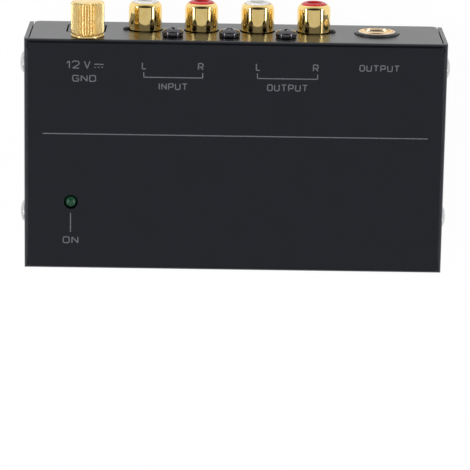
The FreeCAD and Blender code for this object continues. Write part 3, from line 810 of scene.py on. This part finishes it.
def corner_seals(paint):
    """Paint fills the relief slots where the folded walls meet the top."""
    seals = []
    for side, inward in ((LEFT, 1), (RIGHT, -1)):
        x = side + inward * (SHEET + SEAM / 2)
        for end, back in ((FRONT, 1), (REAR, -1)):
            inner_y = end + back * RELIEF_DEPTH
            start_clean()
            bpy.ops.mesh.primitive_plane_add(size=1, rotation=(math.pi / 2, 0, 0))
            seal = bpy.context.object
            seal.scale = (SEAM * MM, SHEET * MM, 1)
            seal.location = (x * MM, inner_y * MM, (TOP - SHEET / 2 - SUNK) * MM)
            settle(seal)
            bpy.ops.object.mode_set(mode="EDIT")
            bpy.ops.mesh.select_all(action="SELECT")
            step = (0, -back * (RELIEF_DEPTH - END_BEND) * MM, 0)
            bpy.ops.mesh.extrude_region_move(TRANSFORM_OT_translate={"value": step})
            centre = (x * MM, (end + back * END_BEND) * MM, (TOP - END_BEND - SUNK) * MM)
            bpy.ops.mesh.spin(
                steps=BEND_STEPS, angle=-back * math.pi / 2, center=centre, axis=(1, 0, 0)
            )
            step = (0, 0, -SEAL_DROP * MM)
            bpy.ops.mesh.extrude_region_move(TRANSFORM_OT_translate={"value": step})
            bpy.ops.object.mode_set(mode="OBJECT")
            seals.append(tidy_mesh(seal))
            plug_r = RELIEF_R - PLUG_CLEAR
            plug = turned([(plug_r, -SHEET), (plug_r, 0)], sides=SMALL_SIDES)
            seals.append(tidy_mesh(stand(plug, (x, inner_y, TOP - PLUG_SUNK), "+Z")))
    return fit(join(seals, "corner_seals"), "corner_seals", paint)


def on_flute(point, height, phase):
    """Whether a point is on the ring at a height, in one phase of the flutes."""
    turn = math.atan2(point.co.y, point.co.x) / (2 * math.pi) * FLUTES * FLUTE_PHASES
    return abs(point.co.z / MM - height) < ON_RING and round(turn) % FLUTE_PHASES == phase


def press_flutes(piece, heights, root):
    """Draw the flutes into chosen rings of a nut, by scaling each phase of them inwards."""
    for height in heights:
        for phase in range(1, FLUTE_PHASES):
            wave = 0.5 - 0.5 * math.cos(2 * math.pi * phase / FLUTE_PHASES)
            grow = 1 - FLUTE_DEPTH * wave ** FLUTE_SHAPE / root
            select_where(piece, "verts", lambda point: on_flute(point, height, phase))
            centre = (0, 0, height * MM)
            bpy.ops.transform.resize(value=(grow, grow, 1), center_override=centre)
            bpy.ops.object.mode_set(mode="OBJECT")


def thumb_nut(paint):
    """The ground terminal's thumb nut, fluted all round and blind at its outer end."""
    base, end = span("ground_nut", 1)
    radius = half_width("ground_nut")
    height = end - base
    fluted = [NUT_FOOT, NUT_FOOT + FLUTE_RUN, height - NUT_EDGE - FLUTE_RUN, height - NUT_EDGE]
    rings = [(STUD_R, NUT_BORE), (STUD_R, 0), (radius - NUT_FOOT, 0)]
    rings += [(radius, place) for place in fluted]
    rings += [(radius - inward, height - down) for inward, down in NUT_FACE]
    rings += [(NUT_DISH_R, height - NUT_DISH)]
    piece = turned(rings, sides=FLUTES * FLUTE_PHASES)
    press_flutes(piece, fluted, radius)
    x, _, z = middle("ground_nut")
    tidy_mesh(stand(piece, (x, base, z), "+Y"), FLUTE_SHARP)
    return fit(piece, "thumb_nut", paint, "ground_nut", ("ground_nut",))


def washer(paint):
    """The flat washer under the thumb nut, with a rounded outer edge."""
    base, end = span("ground_washer", 1)
    thick = end - base
    bore = STUD_R + WASHER_CLEAR
    rings = [(bore, 0), (WASHER_R - WASHER_FOOT, 0), (WASHER_R, WASHER_FOOT)]
    rings += round_edge(WASHER_R, thick, WASHER_ROUND, 4) + [(bore, thick), (bore, 0)]
    x, _, z = middle("ground_washer")
    piece = tidy_mesh(stand(turned(rings, closed=False), (x, base, z), "+Y"))
    node = "ground_washer"
    return fit(piece, "flat_washer", paint, "ground_nut_slider", (node,))


def jack_nose(paint):
    """The jack's round moulded nose."""
    x, _, z = middle("jack_bushing")
    inside = half_width("jack_bushing") + NOSE_GAP
    face = JACK_PROUD - JACK_LIP
    rings = [(inside, -NOSE_DEPTH), (NOSE_R, -NOSE_DEPTH), (NOSE_R, face - NOSE_ROUND)]
    rings += round_edge(NOSE_R, face, NOSE_ROUND)[1:]
    rings += [(inside + NOSE_EDGE, face), (inside, face - NOSE_EDGE), (inside, -NOSE_DEPTH)]
    nose = stand(turned(rings, closed=False), (x, REAR, z), "+Y")
    return fit(tidy_mesh(nose), "jack_nose", paint)


def jack_sleeve(paint):
    """The jack's gold sleeve, with its lip over the nose and a flared mouth."""
    node = "jack_bushing"
    x, _, z = middle(node)
    back = span(node, 1)[0]
    radius = half_width(node)
    length = REAR + JACK_PROUD - back
    seat = length - JACK_LIP + LIP_LAP
    rings = [(JACK_BORE_R, 0), (radius, 0), (radius, seat), (JACK_LIP_R, seat)]
    rings += [(JACK_LIP_R - inward, length - down) for inward, down in LIP_EDGE]
    rings += [
        (JACK_BORE_R + FLARE * s, length - FLARE_LONG * c) for c, s in quarter(FLARE_STEPS)[::-1]
    ]
    rings += [(JACK_BORE_R, 0)]
    sleeve = stand(turned(rings, closed=False), (x, back, z), "+Y")
    return fit(tidy_mesh(sleeve), "jack_sleeve", paint, replaced=(node,))


def power_light(paint):
    """The light's lens: a flange, a barrel and a full dome."""
    bottom, top = span("led_lens", 2)
    x, y, _ = middle("led_lens")
    flange = half_width("led_lens")
    spring = top - bottom - LED_R
    rings = [(flange, 0), (flange, LED_FLANGE - LED_EDGE)]
    rings += [(flange - LED_EDGE, LED_FLANGE), (LED_R, LED_FLANGE)]
    rings += [(max(LED_R * c, LED_POLE), spring + LED_R * s) for c, s in quarter(LED_STEPS)]
    piece = stand(turned(rings), (x, y, bottom), "+Z")
    return fit(tidy_mesh(piece), "power_light", paint, replaced=("led_lens",))


def feet(paint):
    """Four moulded feet with a rounded sole."""
    (left, right), (front, rear), (low, high) = [span("rubber_feet", axis) for axis in range(3)]
    height = high - low
    rings = [(FOOT_R - inward, 0.0) for inward in FOOT_FLAT]
    rounded = round_edge(FOOT_R, height, FOOT_ROUND, rising=False)
    rings += [(r, height - z) for r, z in rounded] + [(FOOT_R, height)]
    found = []
    for x in (left + FOOT_R, right - FOOT_R):
        for y in (front + FOOT_R, rear - FOOT_R):
            found.append(stand(turned(rings, sides=FOOT_SIDES), (x, y, 0), "+Z"))
    piece = tidy_mesh(join(found, "feet"))
    return fit(piece, "moulded_feet", paint, replaced=("rubber_feet",))


def letter(shape, x0, x1, y0, y1):
    """A letter's strokes, fitted to its box on the top."""
    return [[(x0 + u * (x1 - x0), y0 + v * (y1 - y0)) for u, v in stroke] for stroke in shape]


def legend(words, x0, x1, y0, y1):
    """A word's strokes, its letters spread evenly over its box."""
    half = STROKE / 2
    widths = [LETTER_WIDTHS.get(character, 1.0) for character in words]
    unit = (x1 - x0 - STROKE * len(words)) / (sum(widths) + LETTER_GAP * (len(words) - 1))
    strokes = []
    at = x0
    for character, width in zip(words, widths):
        right = at + STROKE + width * unit
        strokes += letter(LETTERS[character], at + half, right - half, y0 + half, y1 - half)
        at = right + LETTER_GAP * unit
    return strokes


def bracket(x0, x1, y_low, y_high):
    """The line under a pair of sockets, with a short upright at each end."""
    left_end = [(x0, y_high), (x0 + BRACKET_LEAN, y_low)]
    return [left_end, [(x0, y_low), (x1, y_low)], [(x1, y_low), (x1, y_high)]]


def ink(strokes, width, name):
    """Strokes of ink with round edges, which stand a few hundredths above the paint."""
    curve = bpy.data.curves.new(name, "CURVE")
    curve.dimensions = "3D"
    curve.bevel_depth = width / 2 * MM
    curve.bevel_resolution = 1
    curve.use_fill_caps = True
    for stroke in strokes:
        spline = curve.splines.new("POLY")
        spline.points.add(len(stroke) - 1)
        for point, (x, y) in zip(spline.points, stroke):
            point.co = (x * MM, (y + MIDDLE_Y) * MM, 0, 1)
    piece = bpy.data.objects.new(name, curve)
    bpy.context.scene.collection.objects.link(piece)
    pick(piece)
    bpy.ops.object.convert(target="MESH")
    piece = bpy.context.object
    piece.scale = (1, 1, 2 * INK / width)
    piece.location = (0, 0, TOP * MM)
    return tidy_mesh(settle(piece))


def printing(paint):
    """All the lettering and lines on the top."""
    words = [stroke for row in LEGENDS for stroke in legend(*row)]
    lines = [stroke for row in BRACKETS for stroke in bracket(*row)]
    lines += [[start, end] for start, end in LINES]
    piece = join([ink(words, STROKE, "words"), ink(lines, LINE, "lines")], "printed_legends")
    return fit(piece, "printed_legends", paint)


def camera():
    bpy.ops.object.camera_add(location=CAMERA_PLACE)
    view = bpy.context.object
    view.name = "photo_view"
    view.rotation_euler = [math.radians(turn) for turn in CAMERA_TURN]
    view.data.sensor_width = CAMERA_SENSOR
    view.data.lens = CAMERA_LENS
    view.data.clip_start = CAMERA_NEAR
    bpy.context.scene.camera = view


def lights_and_floor():
    """The pale floor, and a large soft key light that mirrors don't see."""
    bpy.ops.mesh.primitive_plane_add(size=FLOOR_SIZE)
    floor = bpy.context.object
    floor.name = "floor"
    floor.data.materials.append(floor_paint())
    bpy.ops.object.light_add(type="AREA", location=KEY_PLACE)
    key = bpy.context.object
    key.name = "key"
    key.data.shape = "DISK"
    key.data.size = KEY_SIZE
    key.data.energy = KEY_POWER
    key.rotation_euler = [math.radians(turn) for turn in KEY_TURN]
    key.visible_glossy = False


def studio_world():
    """Walls that darken upwards, a softbox overhead and a strip at each side, seen as white."""
    world = bpy.data.worlds.new("studio")
    bpy.context.scene.world = world
    sky = Paint(world)
    way = sky.node("ShaderNodeTexCoord", output="Generated")
    x, y, z = [
        sky.node("ShaderNodeSeparateXYZ", None, {"Vector": way}, output=axis) for axis in "XYZ"
    ]
    across, along = [
        sky.node("ShaderNodeMath", {"operation": "ABSOLUTE"}, {0: wire}) for wire in (x, y)
    ]
    stops = [(height, grey(level)) for height, level in WALLS]
    walls = sky.node("ShaderNodeValToRGB", {"stops": stops}, {"Fac": z})
    softbox = across.below(SOFTBOX_HALF) * y.below(SOFTBOX_END) * z.above(SOFTBOX_LOW)
    strips = across.above(STRIP[0]) * across.below(STRIP[1]) * along.below(STRIP_HALF)
    strips = strips * z.above(STRIP_LOW)
    light = walls + softbox * SOFTBOX_LEVEL + strips * STRIP_LEVEL
    lit = sky.node("ShaderNodeBackground", None, {"Color": light})
    white = sky.node("ShaderNodeBackground", None, {"Color": (1, 1, 1, 1)})
    seen = sky.node("ShaderNodeLightPath", output="Is Camera Ray")
    shown = sky.node("ShaderNodeMixShader", None, {0: seen, 1: lit, 2: white})
    sky.node("ShaderNodeOutputWorld", None, {"Surface": shown})


def paint_nodes(paints, other):
    """Paint every CAD node, also the inner ones, by its material slot in the record."""
    for part in frame["record"]["subparts"]:
        for slot in frame["nodes"][part["node"]].material_slots:
            slot.material = paints.get(part["material_slot"], other)


def main():
    bpy.context.scene.view_settings.view_transform = "Standard"
    camera()
    lights_and_floor()
    studio_world()
    black = powder_black()
    gold = polished_gold()
    matte = matte_gold()
    plastic = moulded("black_plastic", grey(0.012), grey(0.020), 0.34)
    nickel = black_nickel()
    zinc = zinc_plate()
    tin = tinned()
    white = moulded("insert_white", (0.72, 0.71, 0.69), (0.80, 0.80, 0.78), 0.3)
    red = moulded("insert_red", (0.52, 0.012, 0.018), (0.62, 0.024, 0.030), 0.28)
    rubber = moulded("rubber", grey(0.014), grey(0.024), 0.75, 0.3)
    paints = {
        "gold_polished": gold,
        "gold_matte": matte,
        "black_plastic": plastic,
        "tin": tin,
        "zinc_steel": zinc,
        "board_green": board_lacquer(),
        "can_sleeve": moulded("can_sleeve", (0.02, 0.02, 0.06), (0.03, 0.03, 0.10), 0.22),
        "film_box": moulded("film_box", (0.42, 0.06, 0.04), (0.55, 0.10, 0.06), 0.3),
        "ferrite": moulded("ferrite", grey(0.04), grey(0.07), 0.6),
        "resistor_coat": moulded("resistor_coat", (0.18, 0.36, 0.50), (0.26, 0.46, 0.62), 0.4),
    }
    paint_nodes(paints, black)
    smoothed("lid", "folded_lid", black)
    smoothed("base_tray", "folded_tray", black)
    smoothed("power_inlet_body", "inlet_moulding", plastic)
    phono_sockets(gold, red, white, tin)
    peg_caps(plastic)
    corner_seals(black)
    panel_screws(nickel)
    case_screws(zinc)
    thumb_nut(matte)
    washer(matte)
    jack_nose(plastic)
    jack_sleeve(pale_gold())
    power_light(lamp_green())
    feet(rubber)
    printing(screen_ink())
    start_clean()


main()
